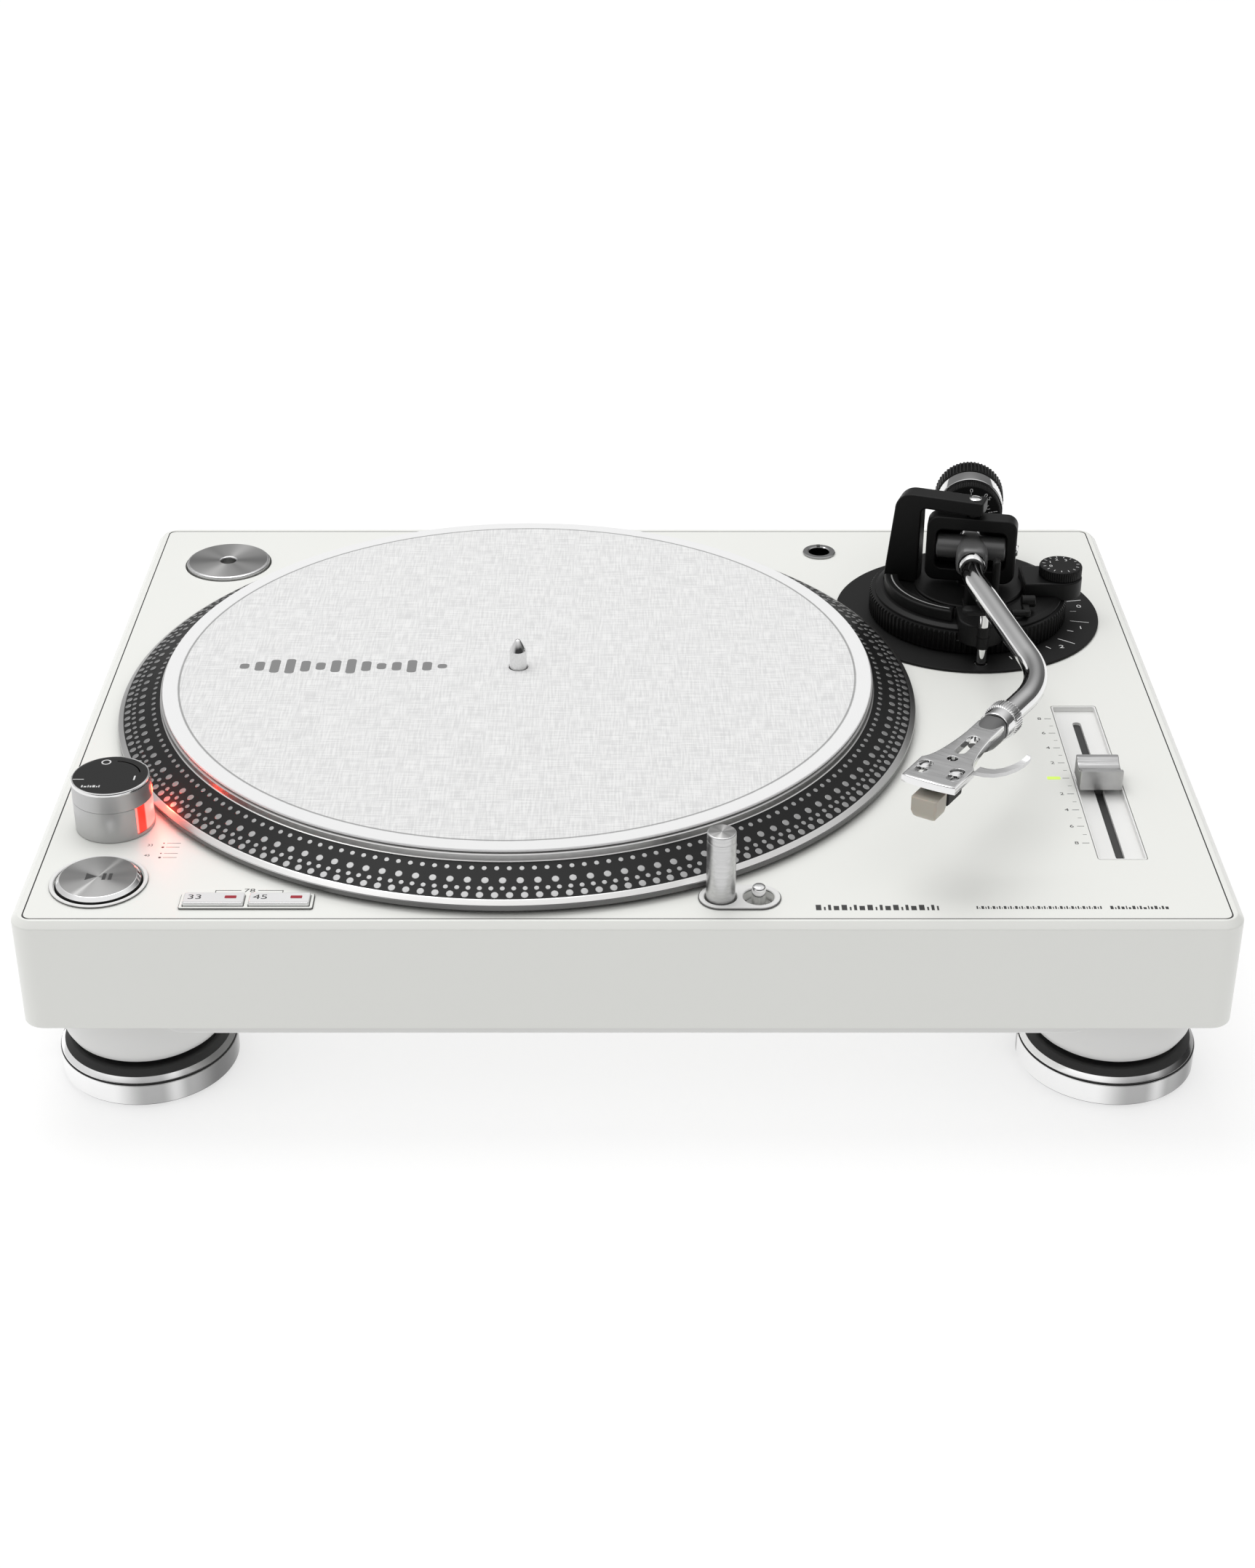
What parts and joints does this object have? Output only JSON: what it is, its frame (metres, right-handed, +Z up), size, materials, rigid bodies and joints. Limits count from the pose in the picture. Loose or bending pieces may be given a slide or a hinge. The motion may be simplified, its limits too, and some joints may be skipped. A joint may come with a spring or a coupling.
{
  "type": "turntable",
  "caption": "Direct-drive record turntable: white plinth on screw feet, dotted platter with slipmat, pitch fader and an S-shaped gimbal tonearm.",
  "frame": {"origin": "on the supporting surface, under the middle of the plinth", "axes": "+X to the operator's right, along the long side; +Y to the back; +Z up"},
  "size_m": [0.45, 0.35, 0.143],
  "materials": {
    "white_paint": "satin",
    "white_moulding": "satin",
    "chrome": "polished",
    "damper_rubber": "matte",
    "motor_copper": "wound",
    "dark_steel": "brushed",
    "platter_metal": "cast and turned",
    "slipmat_cloth": "felt",
    "magnet": "matte",
    "brushed_silver": "brushed",
    "lamp_red": "translucent",
    "black_paint": "satin",
    "black_moulding": "satin",
    "grey_metal": "satin",
    "circuit_board": "matte",
    "stylus_ivory": "translucent"
  },
  "bodies": {
    "chassis": {"plinth_shell": "white_paint", "base_pan": "white_moulding", "rear_panel": "black_moulding", "ac_inlet": "black_moulding", "usb_port": "dark_steel", "phono_jacks": "brushed_silver", "ground_terminal": "chrome", "power_transformer": "dark_steel", "main_board": "circuit_board", "motor_stator": "motor_copper", "bearing_housing": "dark_steel", "start_bezel": "chrome", "speed_bezel": "white_moulding", "lamp_bezel": "chrome", "fader_tray": "white_moulding", "fader_track": "dark_steel", "headshell_socket": "chrome", "strobe_housing": "brushed_silver", "strobe_window": "lamp_red", "arm_base_plate": "black_paint"},
    "foot_front_left": {"foot_ring_front_left": "chrome", "foot_damper_front_left": "damper_rubber"},
    "foot_front_right": {"foot_ring_front_right": "chrome", "foot_damper_front_right": "damper_rubber"},
    "foot_rear_left": {"foot_ring_rear_left": "chrome", "foot_damper_rear_left": "damper_rubber"},
    "foot_rear_right": {"foot_ring_rear_right": "chrome", "foot_damper_rear_right": "damper_rubber"},
    "platter_unit": {"platter": "platter_metal", "slipmat": "slipmat_cloth", "spindle": "chrome", "rotor_magnet": "magnet"},
    "start_key": {"start_button": "brushed_silver"},
    "speed_key_33": {"speed_button_33": "brushed_silver"},
    "speed_key_45": {"speed_button_45": "brushed_silver"},
    "lamp_key": {"lamp_button": "chrome"},
    "lamp_post": {"stylus_lamp": "brushed_silver"},
    "power_knob": {"power_dial": "brushed_silver"},
    "pitch_slider": {"fader_knob": "brushed_silver"},
    "adapter": {"adapter_45": "brushed_silver"},
    "selector": {"output_switch": "grey_metal"},
    "height_collar": {"height_ring": "black_paint"},
    "arm_stand": {"arm_base": "black_paint", "arm_yoke": "black_paint", "arm_rest": "black_moulding"},
    "gimbal": {"gimbal_ring": "black_paint"},
    "arm": {"arm_pivot_block": "grey_metal", "arm_tube": "chrome", "headshell": "brushed_silver", "finger_lift": "brushed_silver", "cartridge": "black_moulding", "stylus": "stylus_ivory"},
    "nut": {"lock_nut": "chrome"},
    "bush": {"weight_bush": "brushed_silver"},
    "weight": {"counterweight": "chrome"},
    "force_dial": {"pressure_dial": "black_moulding"},
    "skate_dial": {"antiskate_dial": "black_moulding"},
    "clamp": {"arm_clamp": "black_moulding"},
    "lift": {"cue_lift": "chrome"},
    "lever": {"cue_lever": "grey_metal"}
  },
  "joints": [
    {"name": "front_left_foot_height", "type": "slide", "parent": "chassis", "child": "foot_front_left", "axis": [0, 0, -1], "range_m": [0, 0.005]},
    {"name": "front_right_foot_height", "type": "slide", "parent": "chassis", "child": "foot_front_right", "axis": [0, 0, -1], "range_m": [0, 0.005]},
    {"name": "rear_left_foot_height", "type": "slide", "parent": "chassis", "child": "foot_rear_left", "axis": [0, 0, -1], "range_m": [0, 0.005]},
    {"name": "rear_right_foot_height", "type": "slide", "parent": "chassis", "child": "foot_rear_right", "axis": [0, 0, -1], "range_m": [0, 0.005]},
    {"name": "platter_spin", "type": "hinge", "parent": "chassis", "child": "platter_unit", "pos_m": [-0.0456, -0.0034, 0.087], "axis": [0, 0, 1], "continuous": true},
    {"name": "start_press", "type": "slide", "parent": "chassis", "child": "start_key", "axis": [0, 0, -1], "range_m": [0, 0.0015], "stiffness_N_per_m": 600, "springref_m": -0.002},
    {"name": "speed_33_press", "type": "slide", "parent": "chassis", "child": "speed_key_33", "axis": [0, 0, -1], "range_m": [0, 0.001], "stiffness_N_per_m": 600, "springref_m": -0.002},
    {"name": "speed_45_press", "type": "slide", "parent": "chassis", "child": "speed_key_45", "axis": [0, 0, -1], "range_m": [0, 0.001], "stiffness_N_per_m": 600, "springref_m": -0.002},
    {"name": "lamp_release_press", "type": "slide", "parent": "chassis", "child": "lamp_key", "axis": [0, 0, -1], "range_m": [0, 0.002], "stiffness_N_per_m": 400, "springref_m": -0.002},
    {"name": "lamp_pop_up", "type": "slide", "parent": "chassis", "child": "lamp_post", "axis": [0, 0, -1], "range_m": [0, 0.028], "stiffness_N_per_m": 60, "springref_m": -0.02},
    {"name": "power_turn", "type": "hinge", "parent": "chassis", "child": "power_knob", "pos_m": [-0.1975, -0.104, 0.104], "axis": [0, 0, 1], "range_deg": [0, 60]},
    {"name": "pitch_slide", "type": "slide", "parent": "chassis", "child": "pitch_slider", "axis": [0, 1, 0], "range_m": [-0.05, 0.05]},
    {"name": "adapter_lift_out", "type": "slide", "parent": "chassis", "child": "adapter", "axis": [0, 0, 1], "range_m": [0, 0.02]},
    {"name": "selector_slide", "type": "slide", "parent": "chassis", "child": "selector", "axis": [1, 0, 0], "range_m": [0, 0.004]},
    {"name": "height_collar_turn", "type": "hinge", "parent": "chassis", "child": "height_collar", "pos_m": [0.1525, 0.08, 0.093], "axis": [0, 0, 1], "range_deg": [0, 330]},
    {"name": "arm_height", "type": "slide", "parent": "chassis", "child": "arm_stand", "axis": [0, 0, 1], "range_m": [0, 0.006]},
    {"name": "arm_swing", "type": "hinge", "parent": "arm_stand", "child": "gimbal", "pos_m": [0.1525, 0.08, 0.12], "axis": [0, 0, -1], "range_deg": [0, 43]},
    {"name": "arm_tilt", "type": "hinge", "parent": "gimbal", "child": "arm", "pos_m": [0.1525, 0.08, 0.12], "axis": [-0.9829, 0.1839, 0], "range_deg": [-2.4, 4]},
    {"name": "lock_nut_turn", "type": "hinge", "parent": "arm", "child": "nut", "pos_m": [0.14226, -0.09408, 0.12604], "axis": [-0.5224, -0.8521, 0.0326], "range_deg": [0, 60]},
    {"name": "weight_travel", "type": "slide", "parent": "arm", "child": "bush", "axis": [0.1044, 0.9939, -0.0348], "range_m": [-0.003, 0.003]},
    {"name": "weight_turn", "type": "hinge", "parent": "bush", "child": "weight", "pos_m": [0.1525, 0.08, 0.12], "axis": [0.1044, 0.9939, -0.0348], "range_deg": [-720, 720]},
    {"name": "force_dial_turn", "type": "hinge", "parent": "weight", "child": "force_dial", "pos_m": [0.1525, 0.08, 0.12], "axis": [0.1044, 0.9939, -0.0348], "continuous": true},
    {"name": "skate_dial_turn", "type": "hinge", "parent": "arm_stand", "child": "skate_dial", "pos_m": [0.1929, 0.079, 0.109], "axis": [0, 0, 1], "range_deg": [0, 300]},
    {"name": "clamp_open", "type": "hinge", "parent": "arm_stand", "child": "clamp", "pos_m": [0.1608, 0.057, 0.108], "axis": [0, 1, 0], "range_deg": [0, 60]},
    {"name": "cue_lever_turn", "type": "hinge", "parent": "arm_stand", "child": "lever", "pos_m": [0.1725, 0.048, 0.103], "axis": [1, 0, 0], "range_deg": [0, 75]},
    {"name": "cue_lift_rise", "type": "slide", "parent": "arm_stand", "child": "lift", "axis": [0, 0, 1], "range_m": [0, 0.0022]}
  ],
  "couplings": [
    {"joint": "height_collar_turn", "follows": "arm_height", "rad_per_m": 959.9},
    {"joint": "weight_turn", "follows": "weight_travel", "rad_per_m": 4188.7},
    {"joint": "cue_lever_turn", "follows": "cue_lift_rise", "rad_per_m": 594.9}
  ]
}
